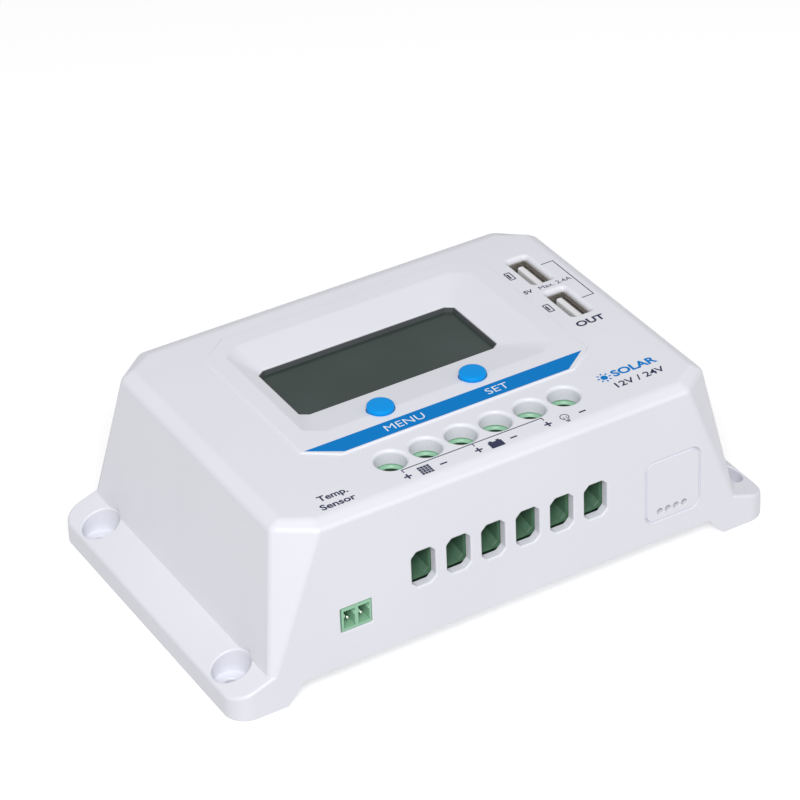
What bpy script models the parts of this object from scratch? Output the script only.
"""Solar charge controller, modelled as the pieces it comes apart into.

A white moulded case stands on two screw-down feet. An aluminium plate closes
it from below. The main board on the plate carries the power terminals, the
sensor socket, the capacitors and the choke, with the power transistors flat
on the plate beneath it. The upper board under the lid carries the display,
the two key switches and the two upright USB sockets.

Frame: origin under the middle of the case, +X along the row of terminals,
+Z up, and the terminals face -Y. The numbers below are millimetres, and the
helpers turn them into Blender's metres.
"""
import math

import bmesh
import bpy
from mathutils import Matrix, Vector

MM = 0.001
GAP = 0.3                 # air left between two neighbouring solids

# ---------------------------------------------------------------- case
CASE_LENGTH = 160.0       # over the feet, along X
CASE_WIDTH = 94.9         # along Y
LID_Z = 49.1              # flat top of the case
PLINTH_Z = 49.5           # raised panel round the display
WALL = 2.4
CEILING_Z = LID_Z - 2.7   # underside of the lid
SKIRT_Z = 5.6             # lower edge of the long walls, between the feet

# (height, half length, half width, corner cut along X, corner cut along Y)
BASE_SECTION = (0.0, 71.3, 47.45, 1.2, 1.2)
SHOULDER_SECTION = (10.0, 69.6, 47.1, 1.2, 1.2)
RIM_SECTION = (47.5, 63.3, 46.1, 9.4, 7.5)
LID_SECTION = (LID_Z, 60.3, 42.7, 7.2, 4.4)
RIM_FRONT_RISE = 0.35     # the long walls end this much above RIM_SECTION
RIM_END_DROP = 0.3        # and the end walls this much below it

FOOT_INNER_X = 65.3       # inner edge of a foot on the ground
FOOT_ROOT_X = 60.7        # and where its slope meets the skirt
EAR_ROOT = (69.5, 9.8)    # x and z where the foot's top leaves the end wall
EAR_EDGE_Z = 6.2          # height of the foot's top at its outer edge
EAR_CORNER_R = 6.0
EAR_EDGE_R = 1.1
EAR_PITCH = (148.0, 70.0)  # mounting holes, along X and along Y
COUNTERBORE_R = 5.0
COUNTERBORE_Z = 2.4
FIXING_HOLE_R = 2.25
SCALLOP_TOP_Z = 14.5
POCKET_X = (67.8, 77.4)   # hollow under each foot
POCKET_HALF_Y = 26.0
POCKET_TOP_Z = 3.8

# ---------------------------------------------------------------- lid details
PLINTH_HALF_X = 42.5
PLINTH_Y = (-23.7, 37.8)
PLINTH_CUT = (8.2, 6.2)
FUNNEL_X = (-37.6, 36.9)
FUNNEL_Y = (-13.3, 33.1)
FUNNEL_CUT = (5.0, 3.5)
WINDOW_X = (-33.2, 25.7)
WINDOW_Y = (-1.9, 21.9)
WINDOW_CUT = (2.2, 1.5)
WINDOW_Z = 47.6           # height of the funnel at the window's edge
KEY_X = {"menu": -16.15, "set": 11.05}
KEY_Y = -11.85
KEY_HOLE_R = 3.9

POLES = 6
POLE_PITCH = 10.16
POLE_X = [(i - (POLES - 1) / 2) * POLE_PITCH for i in range(POLES)]
POLE_Y = -31.9
DRIVER_HOLE_R = 4.1
DRIVER_RIM_R = 5.0
DRIVER_RIM_DEPTH = 0.9

WIRE_WINDOW_Z = 25.6
WIRE_WINDOW_HALF = (3.45, 5.2)
WIRE_WINDOW_CUT = 1.5

USB_X = 50.8
USB_Y = {"usb_1": 22.8, "usb_2": 4.2}
USB_POCKET_HALF = (3.35, 6.95)
USB_SHELL_HALF = (2.85, 6.5)
USB_RIM = 0.8

SENSOR_X = (-49.6, -40.4)
SENSOR_Z = (15.3, 22.85)
SENSOR_CLEARANCE = 0.4

PANEL_X = (40.5, 57.6)    # blanked-off port on the front wall
PANEL_Z = (11.6, 30.4)
PANEL_CORNER_R = 2.8
PANEL_GROOVE = (0.5, 0.4)  # width, depth
DIMPLE_R = 0.75
DIMPLE_DEPTH = 1.2
DIMPLE_Z = 14.6
DIMPLE_X = [45.05 + 2.51 * i for i in range(4)]

# ---------------------------------------------------------------- inside
PLATE_HALF = (57.6, 44.2)
PLATE_Z = (5.9, 7.9)
PLATE_SCREW_XY = (54.2, 36.0)
BOSS_R = 3.2
BOSS_HOLE_R = 1.7

MAIN_BOARD_HALF_X = 50.5
MAIN_BOARD_Y = (-43.6, 42.0)
MAIN_BOARD_Z = (13.4, 15.0)
SPACER_XY = (46.5, 33.8)

UPPER_BOARD_X = (-41.0, 57.5)
UPPER_BOARD_Y = (-16.5, 32.2)
UPPER_BOARD_Z = (37.6, 39.2)
UPPER_SCREW_XY = [(-38.0, -13.5), (-38.0, 29.0), (54.0, -13.5), (40.5, 29.0)]

BLOCK_HALF_X = 31.4
BLOCK_Y = (-43.2, -24.2)
BLOCK_Z = (15.3, 45.7)
CAGE_HALF = (3.4, 4.0)
CAGE_Z = (19.4, 32.2)
CAGE_FLOOR = 1.6
CAGE_ROOF = 2.4
CAGE_SIDE = 0.8
CLAMP_TRAVEL = 2.975      # 4.25 turns of a 0.7 mm thread
CLAMP_HEAD_R = 3.0
CLAMP_SHANK_R = 1.9

MOUTH_HALF = (2.9, 4.5)   # where the wires enter the block
HEAD_HEIGHT = 2.8
HEAD_SLOT = (1.4, 1.0)    # depth, width

KEY_TOP_Z = 50.7
KEY_R = 3.55
KEY_FLANGE = (1.1, 1.1)   # how far it stands out, thickness
KEY_FOOT_R = 1.6          # the stub that presses the plunger
KEY_FOOT_Z = 44.6
SWITCH_HALF = 3.0
SWITCH_TOP_Z = 43.0
SWITCH_WELL_Z = 41.3
SWITCH_WELL_R = 2.05
PLUNGER_R = 1.7
PLUNGER_Z = (42.3, 44.3)

DISPLAY_LAP = (3.4, 3.0)  # how far the display's frame runs on under the lid
DISPLAY_LIP = 0.5         # how far it shows inside the window
FRAME_LOW_Z = 42.9
GLASS_TOP_Z = 45.1

BASE_SCREW_Z = (3.9, 16.0)
BOARD_SCREW_Z = (9.1, 17.0)
UPPER_SCREW_TOP_Z = 43.0
SCREW_SLOT_WIDTH = 0.7
SPACER_R = 2.75
SCREW_HOLE_R = 1.6

CAPACITOR_X = (-22.0, -3.0)
CAPACITOR_Y = 15.0
CAPACITOR_R = 8.0
CAPACITOR_HEIGHT = 20.0
CHOKE_XY = (26.0, 14.0)
CHOKE_R = (5.0, 12.0)     # hole, outside
CHOKE_HEIGHT = 9.0
CHOKE_EDGE_R = 1.6
PROCESSOR_X = (-38.0, -28.0)
PROCESSOR_Y = (-16.0, -6.0)
PROCESSOR_HEIGHT = 1.6
LINK_HALF_X = 12.0
LINK_Y = (26.6, 31.6)
PAD_THICKNESS = 0.5
PAD_HALF_X = 40.0
PAD_Y = (-8.0, 11.0)
TRANSISTOR_X = (-33.0, -11.0, 11.0, 33.0)
TRANSISTOR_HALF_X = 5.0
TRANSISTOR_BODY_Y = (-6.0, 3.2)
TRANSISTOR_TAB_Y = 9.6
TRANSISTOR_HEIGHT = 4.0
TAB_THICKNESS = 1.3
TAB_HOLE = (6.4, 1.8)     # y, radius

USB_SHEET = 0.4
USB_DROP = 1.3            # the sockets' mouths lie this far below the lid
TONGUE_X = (0.8, 2.6)     # from the shell's left side
TONGUE_HALF_Y = 5.6
HEADER_Y = (-46.8, -37.5)
HEADER_CELL_HALF = 1.65
HEADER_WALL = 0.85
HEADER_BACK = 1.6
HEADER_PITCH = 3.81
PIN_HALF = 0.5

# ---------------------------------------------------------------- finishes
# name: (colour, roughness, metallic)
FINISHES = {
    "case_white": ((0.80, 0.80, 0.84), 0.45, 0.0),
    "key_blue": ((0.01, 0.22, 0.72), 0.35, 0.0),
    "terminal_green": ((0.10, 0.34, 0.16), 0.45, 0.0),
    "lcd_grey": ((0.055, 0.075, 0.070), 0.12, 0.0),
    "frame_black": ((0.02, 0.02, 0.022), 0.40, 0.0),
    "diffuser_white": ((0.75, 0.78, 0.74), 0.50, 0.0),
    "board_green": ((0.02, 0.16, 0.07), 0.35, 0.0),
    "plated_steel": ((0.62, 0.62, 0.60), 0.30, 1.0),
    "zinc_steel": ((0.55, 0.55, 0.56), 0.35, 1.0),
    "plate_aluminium": ((0.72, 0.72, 0.74), 0.38, 1.0),
    "brass": ((0.72, 0.53, 0.22), 0.30, 1.0),
    "tongue_white": ((0.82, 0.82, 0.80), 0.45, 0.0),
    "part_black": ((0.03, 0.03, 0.03), 0.55, 0.0),
    "pad_grey": ((0.40, 0.42, 0.45), 0.80, 0.0),
    "capacitor_sleeve": ((0.02, 0.03, 0.06), 0.40, 0.0),
    "copper_winding": ((0.62, 0.26, 0.12), 0.30, 0.6),
}


# ================================================================ helpers
def empty_scene():
    for item in list(bpy.data.objects):
        bpy.data.objects.remove(item, do_unlink=True)


def new_collection(name):
    group = bpy.data.collections.new(name)
    bpy.context.scene.collection.children.link(group)
    return group


def make_materials():
    made = {}
    for name, (colour, roughness, metallic) in FINISHES.items():
        material = bpy.data.materials.new(name)
        material.use_nodes = True
        shader = material.node_tree.nodes["Principled BSDF"]
        shader.inputs["Base Color"].default_value = (*colour, 1.0)
        shader.inputs["Roughness"].default_value = roughness
        shader.inputs["Metallic"].default_value = metallic
        made[name] = material
    return made


def add_object(name, bm, finish=None):
    """An object from a bmesh in millimetres: a part with a finish, or a cutter without."""
    bmesh.ops.scale(bm, vec=(MM, MM, MM), verts=bm.verts)
    mesh = bpy.data.meshes.new(name)
    bm.to_mesh(mesh)
    bm.free()
    piece = bpy.data.objects.new(name, mesh)
    if finish is None:
        piece.display_type = "WIRE"
        piece.hide_render = True
        CUTTERS.objects.link(piece)
    else:
        mesh.materials.append(MATERIALS[finish])
        PARTS.objects.link(piece)
    return piece


def box(name, x, y, z, finish=None):
    """A box between two limits on each axis."""
    bm = bmesh.new()
    size = [limits[1] - limits[0] for limits in (x, y, z)]
    middle = [(limits[1] + limits[0]) / 2 for limits in (x, y, z)]
    place = Matrix.Translation(middle) @ Matrix.Diagonal((*size, 1.0))
    bmesh.ops.create_cube(bm, size=1.0, matrix=place)
    return add_object(name, bm, finish)


def cone(name, centre, z, radii, finish=None, sides=32, turn=None):
    """A cylinder or cone between two heights, optionally turned about its centre."""
    bm = bmesh.new()
    middle = Vector((centre[0], centre[1], (z[0] + z[1]) / 2))
    if turn is not None:
        middle = Vector(centre)
    place = Matrix.Translation(middle) @ (turn or Matrix.Identity(4))
    bmesh.ops.create_cone(bm, cap_ends=True, segments=sides, radius1=radii[0], radius2=radii[1],
                          depth=z[1] - z[0], matrix=place)
    piece = add_object(name, bm, finish)
    if finish is not None:
        shade_round(piece)
    return piece


def rod(name, centre, z, radius, finish=None, sides=32):
    return cone(name, centre, z, (radius, radius), finish, sides)


def shade_round(piece):
    piece.data.shade_smooth()
    piece.data.set_sharp_from_angle(angle=math.radians(35))


def turned(name, centre, profile, finish, sides=32):
    """A solid of revolution: the profile (radius, z) runs down its outer side."""
    bm = bmesh.new()
    corners = [bm.verts.new((radius, 0.0, z)) for radius, z in profile]
    for first, second in zip(corners, corners[1:]):
        bm.edges.new((first, second))
    piece = add_object(name, bm, finish)
    piece.location = Vector((centre[0], centre[1], 0.0)) * MM
    spin = piece.modifiers.new("spin", "SCREW")
    spin.axis = "Z"
    spin.steps = sides
    spin.render_steps = sides
    spin.use_merge_vertices = True
    spin.merge_threshold = 1e-6
    spin.use_smooth_shade = False
    return piece


def prism(name, outline, span, finish=None, upright=True):
    """A flat outline given a thickness. An upright outline is (x, z) and spans a stretch of Y,
    a flat one is (x, y) and spans a stretch of Z."""
    curve = bpy.data.curves.new(name, "CURVE")
    curve.dimensions = "2D"
    curve.fill_mode = "BOTH"
    curve.extrude = (span[1] - span[0]) / 2
    spline = curve.splines.new("POLY")
    spline.points.add(len(outline) - 1)
    for point, (u, v) in zip(spline.points, outline):
        point.co = (u, v, 0.0, 1.0)
    spline.use_cyclic_u = True
    flat = bpy.data.objects.new(name + "_outline", curve)
    bpy.context.scene.collection.objects.link(flat)
    bpy.context.view_layer.update()
    depsgraph = bpy.context.evaluated_depsgraph_get()
    mesh = bpy.data.meshes.new_from_object(flat.evaluated_get(depsgraph))
    bm = bmesh.new()
    bm.from_mesh(mesh)
    bmesh.ops.remove_doubles(bm, verts=bm.verts, dist=1e-4)
    bmesh.ops.recalc_face_normals(bm, faces=bm.faces)
    middle = (span[0] + span[1]) / 2
    if upright:
        place = Matrix.Translation((0.0, middle, 0.0)) @ Matrix.Rotation(math.pi / 2, 4, "X")
    else:
        place = Matrix.Translation((0.0, 0.0, middle))
    bmesh.ops.transform(bm, matrix=place, verts=bm.verts)
    bpy.data.objects.remove(flat, do_unlink=True)
    bpy.data.meshes.remove(mesh)
    return add_object(name, bm, finish)


def loft(name, rings, finish=None):
    """A closed skin through rings that have the same number of points."""
    bm = bmesh.new()
    levels = [[bm.verts.new(point) for point in ring] for ring in rings]
    bm.faces.new(list(reversed(levels[0])))
    bm.faces.new(levels[-1])
    count = len(rings[0])
    for lower, upper in zip(levels, levels[1:]):
        for i in range(count):
            j = (i + 1) % count
            bm.faces.new((lower[i], lower[j], upper[j], upper[i]))
    bmesh.ops.recalc_face_normals(bm, faces=bm.faces)
    bmesh.ops.triangulate(bm, faces=[face for face in bm.faces if len(face.verts) == 4])
    return add_object(name, bm, finish)


def cut_corner_rectangle(x, y, cut):
    """Eight corners of a rectangle whose corners are cut off, anticlockwise."""
    cx, cy = cut
    return [(x[0] + cx, y[0]), (x[1] - cx, y[0]), (x[1], y[0] + cy), (x[1], y[1] - cy),
            (x[1] - cx, y[1]), (x[0] + cx, y[1]), (x[0], y[1] - cy), (x[0], y[0] + cy)]


def rounded_rectangle(x, y, radius, steps=5):
    """A rectangle with quarter-round corners, anticlockwise."""
    centres = [(x[1] - radius, y[1] - radius, 0), (x[0] + radius, y[1] - radius, 90),
               (x[0] + radius, y[0] + radius, 180), (x[1] - radius, y[0] + radius, 270)]
    points = []
    for cx, cy, start in centres:
        for i in range(steps + 1):
            angle = math.radians(start + 90 * i / steps)
            points.append((cx + radius * math.cos(angle), cy + radius * math.sin(angle)))
    return points


def grown(limits, margin):
    return (limits[0] - margin, limits[1] + margin)


def combine(target, tool, operation):
    step = target.modifiers.new(tool.name, "BOOLEAN")
    step.operation = operation
    step.object = tool
    step.solver = "EXACT"


def cut(target, *tools):
    for tool in tools:
        combine(target, tool, "DIFFERENCE")


def join(target, *tools):
    for tool in tools:
        combine(target, tool, "UNION")


# ================================================================ case
def case_section(section, inset=0.0, end_z=None, long_z=None):
    """Eight corners of the case at one height; its two kinds of wall may end at their own."""
    z, half_x, half_y, cut_x, cut_y = section
    end_z = z if end_z is None else end_z
    long_z = z if long_z is None else long_z
    flat = cut_corner_rectangle((-half_x + inset, half_x - inset), (-half_y + inset, half_y - inset),
                                (cut_x, cut_y))
    heights = [long_z, long_z, end_z, end_z, long_z, long_z, end_z, end_z]
    return [(x, y, height) for (x, y), height in zip(flat, heights)]


def section_at(z):
    """The case's outer section at a height between its shoulder and its rim."""
    share = (z - SHOULDER_SECTION[0]) / (RIM_SECTION[0] - SHOULDER_SECTION[0])
    return tuple(low + share * (high - low) for low, high in zip(SHOULDER_SECTION, RIM_SECTION))


def case_outer():
    rim = case_section(RIM_SECTION, end_z=RIM_SECTION[0] - RIM_END_DROP,
                       long_z=RIM_SECTION[0] + RIM_FRONT_RISE)
    rings = [case_section(BASE_SECTION), case_section(SHOULDER_SECTION), rim, case_section(LID_SECTION)]
    return loft("upper_case", rings, "case_white")


def case_hollow():
    """The inside: the outer section moved in by the wall, from the ledge to the ceiling."""
    ledge = (PLATE_Z[1] + GAP,) + SHOULDER_SECTION[1:]
    rings = [case_section(ledge, WALL), case_section(SHOULDER_SECTION, WALL),
             case_section((CEILING_Z,) + section_at(CEILING_Z)[1:], WALL)]
    return loft("case_hollow", rings)


def foot_ear(side):
    """One foot's ledge: rounded outer corners and a top that slopes down and out."""
    outer_x = CASE_LENGTH / 2
    inner_x = FOOT_ROOT_X
    half_y = CASE_WIDTH / 2
    slope = (EAR_ROOT[1] - EAR_EDGE_Z) / (outer_x - EAR_ROOT[0])
    outline = [(inner_x, -half_y)]
    for start in (270, 0):
        centre_y = (half_y - EAR_CORNER_R) * (-1 if start == 270 else 1)
        for i in range(7):
            angle = math.radians(start + 15 * i)
            outline.append((outer_x - EAR_CORNER_R + EAR_CORNER_R * math.cos(angle),
                            centre_y + EAR_CORNER_R * math.sin(angle)))
    outline.append((inner_x, half_y))
    top = [EAR_ROOT[1] - slope * (x - EAR_ROOT[0]) for x, y in outline]
    lower = [(side * x, y, 0.0) for x, y in outline]
    upper = [(side * x, y, z) for (x, y), z in zip(outline, top)]
    ear = loft("foot_ear_%s" % ("right" if side > 0 else "left"), [lower, upper])
    soften_top_edge(ear, side)
    return ear


def soften_top_edge(ear, side):
    """Round the ear's upper outer edge."""
    bm = bmesh.new()
    bm.from_mesh(ear.data)
    bmesh.ops.dissolve_limit(bm, angle_limit=math.radians(1), verts=bm.verts, edges=bm.edges)
    top = max(bm.faces, key=lambda face: face.calc_center_median().z)
    rim = [edge for edge in top.edges if min(abs(vert.co.x) for vert in edge.verts) > EAR_ROOT[0] * MM
           or abs(edge.verts[0].co.y - edge.verts[1].co.y) < 1e-6]
    bmesh.ops.bevel(bm, geom=rim, offset=EAR_EDGE_R * MM, segments=3, profile=0.5, affect="EDGES",
                    clamp_overlap=True)
    bm.to_mesh(ear.data)
    bm.free()


def skirt_notch():
    """What is cut away between the feet: a flat trapezoid through the whole width."""
    drop = 1.0
    flare = (FOOT_INNER_X - FOOT_ROOT_X) / SKIRT_Z * drop
    outline = [(-FOOT_INNER_X - flare, -drop), (FOOT_INNER_X + flare, -drop),
               (FOOT_ROOT_X, SKIRT_Z), (-FOOT_ROOT_X, SKIRT_Z)]
    return prism("skirt_notch", outline, (-CASE_WIDTH, CASE_WIDTH))


def display_plinth():
    outline = cut_corner_rectangle((-PLINTH_HALF_X, PLINTH_HALF_X), PLINTH_Y, PLINTH_CUT)
    return prism("display_plinth", outline, (LID_Z - 1.0, PLINTH_Z), upright=False)


def display_funnel():
    """The dished surround that slopes down to the display window, and the window."""
    rise = 1.0
    outer = cut_corner_rectangle(FUNNEL_X, FUNNEL_Y, FUNNEL_CUT)
    inner = cut_corner_rectangle(WINDOW_X, WINDOW_Y, WINDOW_CUT)
    above = [(x + (x - u) * rise / (PLINTH_Z - WINDOW_Z), y + (y - v) * rise / (PLINTH_Z - WINDOW_Z))
             for (x, y), (u, v) in zip(outer, inner)]
    rings = [[(x, y, WINDOW_Z) for x, y in inner], [(x, y, PLINTH_Z) for x, y in outer],
             [(x, y, PLINTH_Z + rise) for x, y in above]]
    window = prism("display_window", inner, (CEILING_Z - 1.0, WINDOW_Z + 1.0), upright=False)
    return loft("display_funnel", rings), window


def screw_boss(name, x, y, z, radius, hole_r, hole_depth):
    """A post on the ceiling with a blind hole from below."""
    post = rod(name, (x, y), z, radius, sides=16)
    hole = rod(name + "_hole", (x, y), (z[0] - 1.0, z[0] + hole_depth), hole_r, sides=12)
    return post, hole


def wall_y(z):
    """Where the front wall's outer face is at a height."""
    return -section_at(z)[2]


def panel_groove():
    """A shallow rounded-square line on the front wall, as a tilted frame."""
    width, depth = PANEL_GROOVE
    outer = rounded_rectangle(PANEL_X, PANEL_Z, PANEL_CORNER_R)
    inner = rounded_rectangle(grown(PANEL_X, -width), grown(PANEL_Z, -width), PANEL_CORNER_R - width)
    bm = bmesh.new()
    rings = []
    for outline, into in ((outer, -1.0), (outer, depth), (inner, depth), (inner, -1.0)):
        rings.append([bm.verts.new((x, wall_y(z) + into, z)) for x, z in outline])
    count = len(outer)
    for k in range(4):
        first, second = rings[k], rings[(k + 1) % 4]
        for i in range(count):
            j = (i + 1) % count
            bm.faces.new((first[i], first[j], second[j], second[i]))
    bmesh.ops.recalc_face_normals(bm, faces=bm.faces)
    bmesh.ops.triangulate(bm, faces=bm.faces)
    return add_object("panel_groove", bm)


def build_case():
    case = case_outer()
    join(case, foot_ear(1), foot_ear(-1))
    cut(case, skirt_notch(), case_hollow())
    cut(case, box("plate_opening", grown((0, 0), PLATE_HALF[0] + GAP), grown((0, 0), PLATE_HALF[1] + GAP),
                  (SKIRT_Z - 2.0, PLATE_Z[1] + 1.0)))
    join(case, display_plinth())
    for sx in (-1, 1):
        for sy in (-1, 1):
            tag = "%s%s" % ("fb"[sy > 0], "lr"[sx > 0])
            x, y = sx * PLATE_SCREW_XY[0], sy * PLATE_SCREW_XY[1]
            post, hole = screw_boss("boss_" + tag, x, y, (PLATE_Z[1] + GAP, CEILING_Z + 1.0),
                                    BOSS_R, BOSS_HOLE_R, 12.0)
            join(case, post)
            cut(case, hole)
            ex, ey = sx * EAR_PITCH[0] / 2, sy * EAR_PITCH[1] / 2
            cut(case, rod("counterbore_" + tag, (ex, ey), (COUNTERBORE_Z, SCALLOP_TOP_Z),
                          COUNTERBORE_R, sides=32))
            cut(case, rod("fixing_hole_" + tag, (ex, ey), (-1.0, COUNTERBORE_Z + 1.0),
                          FIXING_HOLE_R, sides=20))
    for index, (x, y) in enumerate(UPPER_SCREW_XY):
        post, hole = screw_boss("board_boss_%d" % (index + 1), x, y,
                                (UPPER_BOARD_Z[1] + GAP, CEILING_Z + 1.0), 2.8, 1.3, 5.0)
        join(case, post)
        cut(case, hole)
    for side, name in ((1, "right"), (-1, "left")):
        span = sorted((side * POCKET_X[0], side * POCKET_X[1]))
        cut(case, box("foot_pocket_" + name, span, (-POCKET_HALF_Y, POCKET_HALF_Y), (-1.0, POCKET_TOP_Z)))
    cut(case, *display_funnel())
    for name, x in KEY_X.items():
        cut(case, rod("key_hole_" + name, (x, KEY_Y), (CEILING_Z - 1.0, PLINTH_Z + 1.0), KEY_HOLE_R))
    for index, x in enumerate(POLE_X):
        number = index + 1
        cut(case, rod("driver_hole_%d" % number, (x, POLE_Y), (CEILING_Z - 1.0, LID_Z + 1.0),
                      DRIVER_HOLE_R))
        flare = (DRIVER_RIM_R - DRIVER_HOLE_R) / DRIVER_RIM_DEPTH * 0.5
        cut(case, cone("driver_rim_%d" % number, (x, POLE_Y), (LID_Z - DRIVER_RIM_DEPTH, LID_Z + 0.5),
                       (DRIVER_HOLE_R, DRIVER_RIM_R + flare)))
        outline = cut_corner_rectangle(
            grown((x, x), WIRE_WINDOW_HALF[0]), grown((WIRE_WINDOW_Z, WIRE_WINDOW_Z), WIRE_WINDOW_HALF[1]),
            (WIRE_WINDOW_CUT, WIRE_WINDOW_CUT))
        cut(case, prism("wire_window_%d" % number, outline, (-CASE_WIDTH / 2 - 1.0, BLOCK_Y[0] + 0.5)))
    for name, y in USB_Y.items():
        outline = rounded_rectangle(grown((USB_X, USB_X), USB_POCKET_HALF[0]),
                                    grown((y, y), USB_POCKET_HALF[1]), 0.8, steps=3)
        cut(case, prism(name + "_pocket", outline, (CEILING_Z - 1.0, LID_Z + 1.0), upright=False))
        cut(case, usb_rim(name, y))
    cut(case, box("sensor_opening", grown(SENSOR_X, SENSOR_CLEARANCE),
                  (-CASE_WIDTH / 2 - 1.0, -43.0), grown(SENSOR_Z, SENSOR_CLEARANCE)))
    cut(case, panel_groove())
    turn = Matrix.Rotation(math.pi / 2, 4, "X")
    for index, x in enumerate(DIMPLE_X):
        middle = (x, wall_y(DIMPLE_Z) + DIMPLE_DEPTH - 1.5, DIMPLE_Z)
        cut(case, cone("dimple_%d" % (index + 1), middle, (0.0, 3.0), (DIMPLE_R, DIMPLE_R),
                       sides=16, turn=turn))
    return case


def usb_rim(name, y):
    """The widened mouth of a USB pocket."""
    lower = rounded_rectangle(grown((USB_X, USB_X), USB_POCKET_HALF[0]), grown((y, y), USB_POCKET_HALF[1]),
                              0.8, steps=3)
    upper = rounded_rectangle(grown((USB_X, USB_X), USB_POCKET_HALF[0] + 2 * USB_RIM),
                              grown((y, y), USB_POCKET_HALF[1] + 2 * USB_RIM), 0.8 + 2 * USB_RIM, steps=3)
    return loft(name + "_rim", [[(x, v, LID_Z - USB_RIM) for x, v in lower],
                                [(x, v, LID_Z + USB_RIM) for x, v in upper]])


# ================================================================ base
def four_corners(distance):
    """The four points at a distance from the middle, front left first."""
    return [(sx * distance[0], sy * distance[1]) for sy in (-1, 1) for sx in (-1, 1)]


def driver_slot(name, centre, z, length, width, angle):
    """A straight screwdriver slot, turned about the screw's axis."""
    bm = bmesh.new()
    middle = Vector((centre[0], centre[1], (z[0] + z[1]) / 2))
    place = (Matrix.Translation(middle) @ Matrix.Rotation(math.radians(angle), 4, "Z")
             @ Matrix.Diagonal((length, width, z[1] - z[0], 1.0)))
    bmesh.ops.create_cube(bm, size=1.0, matrix=place)
    return add_object(name, bm)


def build_base():
    """The plate that closes the case from below, and the four screws that hold it."""
    plate = box("base_plate", (-PLATE_HALF[0], PLATE_HALF[0]), (-PLATE_HALF[1], PLATE_HALF[1]), PLATE_Z,
                "plate_aluminium")
    through = grown(PLATE_Z, 1.0)
    seat = PLATE_Z[0] - GAP
    low, high = BASE_SCREW_Z
    for index, (x, y) in enumerate(four_corners(PLATE_SCREW_XY)):
        number = index + 1
        cut(plate, rod("plate_hole_%d" % number, (x, y), through, 1.8, sides=14))
        profile = [(0.0, high), (1.3, high), (1.4, seat), (3.0, seat), (2.7, low + 0.5), (1.8, low), (0.0, low)]
        screw = turned("base_screw_%d" % number, (x, y), profile, "zinc_steel", sides=14)
        screw.data.shade_flat()
        for angle in (0, 90):
            cut(screw, driver_slot("base_slot_%d_%d" % (number, angle), (x, y), (low - 0.5, low + 1.1), 3.4,
                                   SCREW_SLOT_WIDTH, angle))
    for index, (x, y) in enumerate(four_corners(SPACER_XY)):
        cut(plate, rod("spacer_hole_%d" % (index + 1), (x, y), through, SCREW_HOLE_R, sides=14))


# ================================================================ boards
def build_spacers():
    """Hexagonal posts between the plate and the main board, with the board's screws in them."""
    seat = MAIN_BOARD_Z[1] + GAP
    low, high = BOARD_SCREW_Z
    for index, (x, y) in enumerate(four_corners(SPACER_XY)):
        number = index + 1
        spacer_z = (PLATE_Z[1] + GAP, MAIN_BOARD_Z[0] - GAP)
        spacer = rod("board_spacer_%d" % number, (x, y), spacer_z, SPACER_R, "brass", sides=6)
        cut(spacer, rod("spacer_thread_%d" % number, (x, y), grown(spacer_z, 2.0), 1.7, sides=12))
        profile = [(0.0, high), (1.6, high), (2.6, high - 0.5), (2.8, seat), (1.3, seat), (1.3, low), (0.0, low)]
        screw = turned("board_screw_%d" % number, (x, y), profile, "zinc_steel", sides=14)
        cut(screw, driver_slot("board_slot_%d" % number, (x, y), (high - 0.6, high + 0.6), 4.0,
                               SCREW_SLOT_WIDTH, 45))


def build_main_board():
    board = box("main_board", (-MAIN_BOARD_HALF_X, MAIN_BOARD_HALF_X), MAIN_BOARD_Y, MAIN_BOARD_Z,
                "board_green")
    for index, (x, y) in enumerate(four_corners(SPACER_XY)):
        cut(board, rod("board_hole_%d" % (index + 1), (x, y), grown(MAIN_BOARD_Z, 2.0), SCREW_HOLE_R, sides=14))
    top = MAIN_BOARD_Z[1] + GAP
    link_z = (top, UPPER_BOARD_Z[0] - GAP)
    box("processor", PROCESSOR_X, PROCESSOR_Y, (top, top + PROCESSOR_HEIGHT), "part_black")
    link = box("board_link", (-LINK_HALF_X, LINK_HALF_X), LINK_Y, link_z, "part_black")
    cut(link, box("link_notch", grown((-LINK_HALF_X, LINK_HALF_X), -1.5), (LINK_Y[0] - 1.0, LINK_Y[0] + 1.0),
                  (link_z[0] + 3.0, link_z[1] - 3.7)))
    build_capacitors(top)
    build_choke(top)


def build_capacitors(foot):
    """Electrolytic cans with a rolled-in groove near the top."""
    top = foot + CAPACITOR_HEIGHT
    neck = CAPACITOR_R - 0.4
    for index, x in enumerate(CAPACITOR_X):
        profile = [(0.0, top), (CAPACITOR_R - 1.0, top), (CAPACITOR_R - 0.2, top - 0.8),
                   (CAPACITOR_R, top - 2.5), (neck, top - 3.0), (CAPACITOR_R, top - 3.5),
                   (CAPACITOR_R, foot + 0.6), (neck, foot), (0.0, foot)]
        turned("capacitor_%d" % (index + 1), (x, CAPACITOR_Y), profile, "capacitor_sleeve", sides=24)


def build_choke(foot):
    """A flat wound ring with rounded edges."""
    choke = rod("choke", CHOKE_XY, (foot, foot + CHOKE_HEIGHT), CHOKE_R[1], "copper_winding", sides=28)
    cut(choke, rod("choke_hole", CHOKE_XY, (foot - 1.0, foot + CHOKE_HEIGHT + 1.0), CHOKE_R[0]))
    soften = choke.modifiers.new("round", "BEVEL")
    soften.width = CHOKE_EDGE_R * MM
    soften.segments = 2
    soften.limit_method = "ANGLE"
    soften.angle_limit = math.radians(40)


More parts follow.
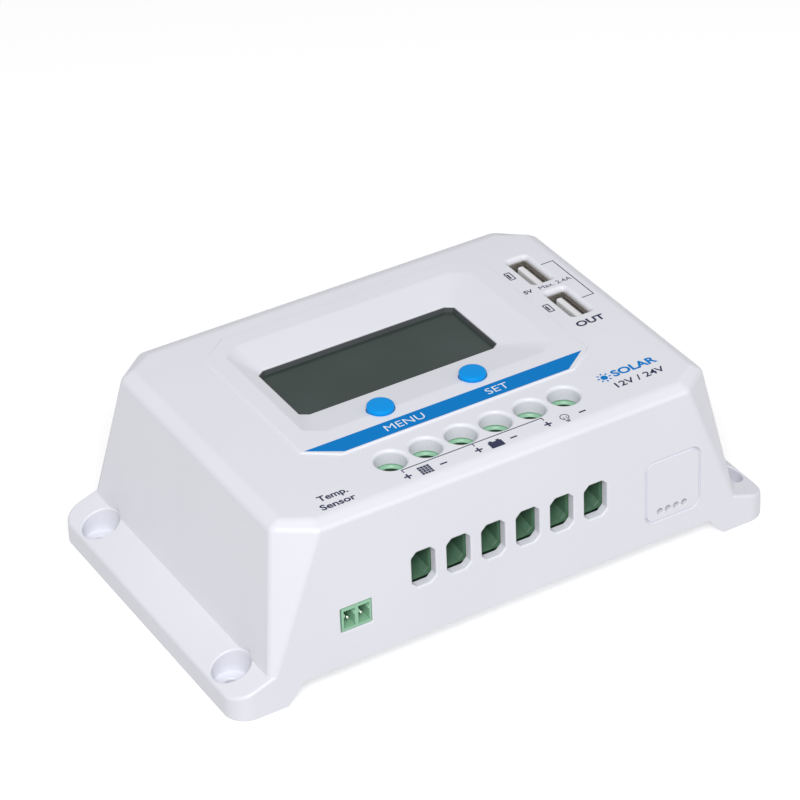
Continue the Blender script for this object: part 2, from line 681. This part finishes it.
def build_transistors():
    """Power transistors lying on the plate, tabs to the back, over an insulating pad."""
    pad_z = (PLATE_Z[1] + GAP, PLATE_Z[1] + GAP + PAD_THICKNESS)
    box("insulating_pad", (-PAD_HALF_X, PAD_HALF_X), PAD_Y, pad_z, "pad_grey")
    foot = pad_z[1] + GAP
    for index, x in enumerate(TRANSISTOR_X):
        number = index + 1
        span = grown((x, x), TRANSISTOR_HALF_X)
        body = box("power_transistor_%d" % number, span, TRANSISTOR_BODY_Y, (foot, foot + TRANSISTOR_HEIGHT),
                   "part_black")
        tab = box("transistor_tab_%d" % number, span, (TRANSISTOR_BODY_Y[1] - 0.2, TRANSISTOR_TAB_Y),
                  (foot, foot + TAB_THICKNESS))
        join(body, tab)
        cut(body, rod("tab_hole_%d" % number, (x, TAB_HOLE[0]), (foot - 1.0, foot + TAB_THICKNESS + 1.0),
                      TAB_HOLE[1], sides=14))


def build_upper_board():
    """The board under the lid, hung from four bosses."""
    board = box("upper_board", UPPER_BOARD_X, UPPER_BOARD_Y, UPPER_BOARD_Z, "board_green")
    seat = UPPER_BOARD_Z[0] - GAP
    for index, (x, y) in enumerate(UPPER_SCREW_XY):
        number = index + 1
        cut(board, rod("upper_hole_%d" % number, (x, y), grown(UPPER_BOARD_Z, 2.0), 1.5, sides=14))
        profile = [(0.0, UPPER_SCREW_TOP_Z), (1.0, UPPER_SCREW_TOP_Z), (1.0, seat), (2.5, seat),
                   (2.3, seat - 1.2), (1.5, seat - 1.6), (0.0, seat - 1.6)]
        screw = turned("upper_screw_%d" % number, (x, y), profile, "zinc_steel", sides=14)
        cut(screw, driver_slot("upper_slot_%d" % number, (x, y), (seat - 2.2, seat - 0.8), 3.6,
                               SCREW_SLOT_WIDTH, 30))


def build_display():
    """The display's frame and glass under the window, on a backlight block."""
    outer_x = grown(WINDOW_X, DISPLAY_LAP[0])
    outer_y = grown(WINDOW_Y, DISPLAY_LAP[1])
    seen_x = grown(WINDOW_X, -DISPLAY_LIP)
    seen_y = grown(WINDOW_Y, -DISPLAY_LIP)
    frame_z = (FRAME_LOW_Z, CEILING_Z - GAP)
    frame = box("lcd_frame", outer_x, outer_y, frame_z, "frame_black")
    cut(frame, box("lcd_frame_opening", seen_x, seen_y, grown(frame_z, 2.0)))
    box("lcd_glass", grown(seen_x, -GAP), grown(seen_y, -GAP), (FRAME_LOW_Z, GLASS_TOP_Z), "lcd_grey")
    box("lcd_backlight", grown(outer_x, -1.0), grown(outer_y, -1.0),
        (UPPER_BOARD_Z[1] + GAP, FRAME_LOW_Z - GAP), "diffuser_white")


def build_keys():
    """Each key: a blue cap with a flange under the lid, over a switch with its own plunger."""
    flange_top = CEILING_Z - GAP
    flange_r = KEY_R + KEY_FLANGE[0]
    flange_low = flange_top - KEY_FLANGE[1]
    for name, x in KEY_X.items():
        profile = [(0.0, KEY_TOP_Z), (KEY_R - 1.2, KEY_TOP_Z - 0.05), (KEY_R - 0.5, KEY_TOP_Z - 0.3),
                   (KEY_R, KEY_TOP_Z - 0.9), (KEY_R, flange_top), (flange_r, flange_top),
                   (flange_r, flange_low), (KEY_FOOT_R, flange_low), (KEY_FOOT_R, KEY_FOOT_Z), (0.0, KEY_FOOT_Z)]
        shade_round(turned(name + "_button", (x, KEY_Y), profile, "key_blue", sides=32))
        body = box(name + "_switch", grown((x, x), SWITCH_HALF), grown((KEY_Y, KEY_Y), SWITCH_HALF),
                   (UPPER_BOARD_Z[1] + GAP, SWITCH_TOP_Z), "part_black")
        cut(body, rod(name + "_switch_well", (x, KEY_Y), (SWITCH_WELL_Z, SWITCH_TOP_Z + 1.0), SWITCH_WELL_R,
                      sides=24))
        rod(name + "_plunger", (x, KEY_Y), PLUNGER_Z, PLUNGER_R, "part_black", sides=24)


# ================================================================ sockets
def build_terminals():
    """The terminal block, with a clamp screw and a lifting cage for each pole."""
    block = box("terminal_block", (-BLOCK_HALF_X, BLOCK_HALF_X), BLOCK_Y, BLOCK_Z, "terminal_green")
    head_z = CAGE_Z[1] + CLAMP_TRAVEL + GAP + 0.2
    for index, x in enumerate(POLE_X):
        number = index + 1
        cut(block, box("wire_mouth_%d" % number, grown((x, x), MOUTH_HALF[0]), (BLOCK_Y[0] - 1.0, POLE_Y),
                       grown((WIRE_WINDOW_Z, WIRE_WINDOW_Z), MOUTH_HALF[1])))
        cut(block, box("cage_well_%d" % number, grown((x, x), CAGE_HALF[0] + 0.4),
                       grown((POLE_Y, POLE_Y), CAGE_HALF[1] + 0.4), (CAGE_Z[0] - 0.4, head_z)))
        cut(block, rod("screw_well_%d" % number, (x, POLE_Y), (head_z - 0.5, BLOCK_Z[1] + 1.0),
                       CLAMP_HEAD_R + 0.35, sides=20))
        build_cage(number, x)
        build_clamp_screw(number, x, head_z)


def build_cage(number, x):
    """A folded box that the screw draws up against the wire."""
    roof_z = CAGE_Z[1] - CAGE_ROOF
    cage = box("clamp_cage_%d" % number, grown((x, x), CAGE_HALF[0]), grown((POLE_Y, POLE_Y), CAGE_HALF[1]),
               CAGE_Z, "plated_steel")
    cut(cage, box("cage_window_%d" % number, grown((x, x), CAGE_HALF[0] - CAGE_SIDE),
                  grown((POLE_Y, POLE_Y), CAGE_HALF[1] + 1.0), (CAGE_Z[0] + CAGE_FLOOR, roof_z)))
    cut(cage, rod("cage_thread_%d" % number, (x, POLE_Y), (roof_z - 0.5, CAGE_Z[1] + 1.0),
                  CLAMP_SHANK_R + 0.25, sides=16))


def build_clamp_screw(number, x, head_z):
    tip = CAGE_Z[1] - CAGE_ROOF - 0.4
    top = head_z + HEAD_HEIGHT
    profile = [(0.0, top), (CLAMP_HEAD_R - 0.3, top), (CLAMP_HEAD_R, top - 0.4), (CLAMP_HEAD_R, head_z + 0.1),
               (CLAMP_SHANK_R, head_z + 0.1), (CLAMP_SHANK_R, tip), (0.0, tip)]
    screw = turned("clamp_screw_%d" % number, (x, POLE_Y), profile, "plated_steel", sides=18)
    cut(screw, driver_slot("clamp_slot_%d" % number, (x, POLE_Y), (top - HEAD_SLOT[0], top + 1.2),
                           2 * CLAMP_HEAD_R + 1.0, HEAD_SLOT[1], 35))


def build_usb():
    """Two upright sockets: a steel shell round a plastic tongue."""
    shell_z = (UPPER_BOARD_Z[1] + GAP, LID_Z - USB_DROP)
    left = USB_X - USB_SHELL_HALF[0]
    for name, y in USB_Y.items():
        shell = box(name + "_shell", grown((USB_X, USB_X), USB_SHELL_HALF[0]),
                    grown((y, y), USB_SHELL_HALF[1]), shell_z, "plated_steel")
        cut(shell, box(name + "_mouth", grown((USB_X, USB_X), USB_SHELL_HALF[0] - USB_SHEET),
                       grown((y, y), USB_SHELL_HALF[1] - USB_SHEET), (shell_z[0] + 0.8, shell_z[1] + 1.0)))
        box(name + "_tongue", (left + TONGUE_X[0], left + TONGUE_X[1]), grown((y, y), TONGUE_HALF_Y),
            (shell_z[0] + 1.2, shell_z[1] - 0.6), "tongue_white")


def build_sensor_socket():
    """Two-pole header in the front wall: an open-fronted box with a rib between its pins."""
    front, back = HEADER_Y
    socket = box("sensor_socket", SENSOR_X, HEADER_Y, SENSOR_Z, "terminal_green")
    middle_x = (SENSOR_X[0] + SENSOR_X[1]) / 2
    middle_z = (SENSOR_Z[0] + SENSOR_Z[1]) / 2
    for number, side in ((1, -0.5), (2, 0.5)):
        x = middle_x + side * HEADER_PITCH
        cut(socket, box("sensor_cell_%d" % number, grown((x, x), HEADER_CELL_HALF),
                        (front - 1.0, back - HEADER_BACK), grown(SENSOR_Z, -HEADER_WALL)))
        cut(socket, box("sensor_key_%d" % number, grown((x, x), HEADER_CELL_HALF / 2), (front - 1.0, front + 5.0),
                        (SENSOR_Z[1] - HEADER_WALL - 0.1, SENSOR_Z[1] + 1.0)))
        box("sensor_pin_%d" % number, grown((x, x), PIN_HALF), (front + 1.6, back - HEADER_BACK - GAP),
            grown((middle_z, middle_z), PIN_HALF), "plated_steel")


empty_scene()
PARTS = new_collection("charge_controller")
CUTTERS = new_collection("cutters")
MATERIALS = make_materials()
build_case()
build_base()
build_spacers()
build_main_board()
build_transistors()
build_upper_board()
build_display()
build_keys()
build_terminals()
build_usb()
build_sensor_socket()
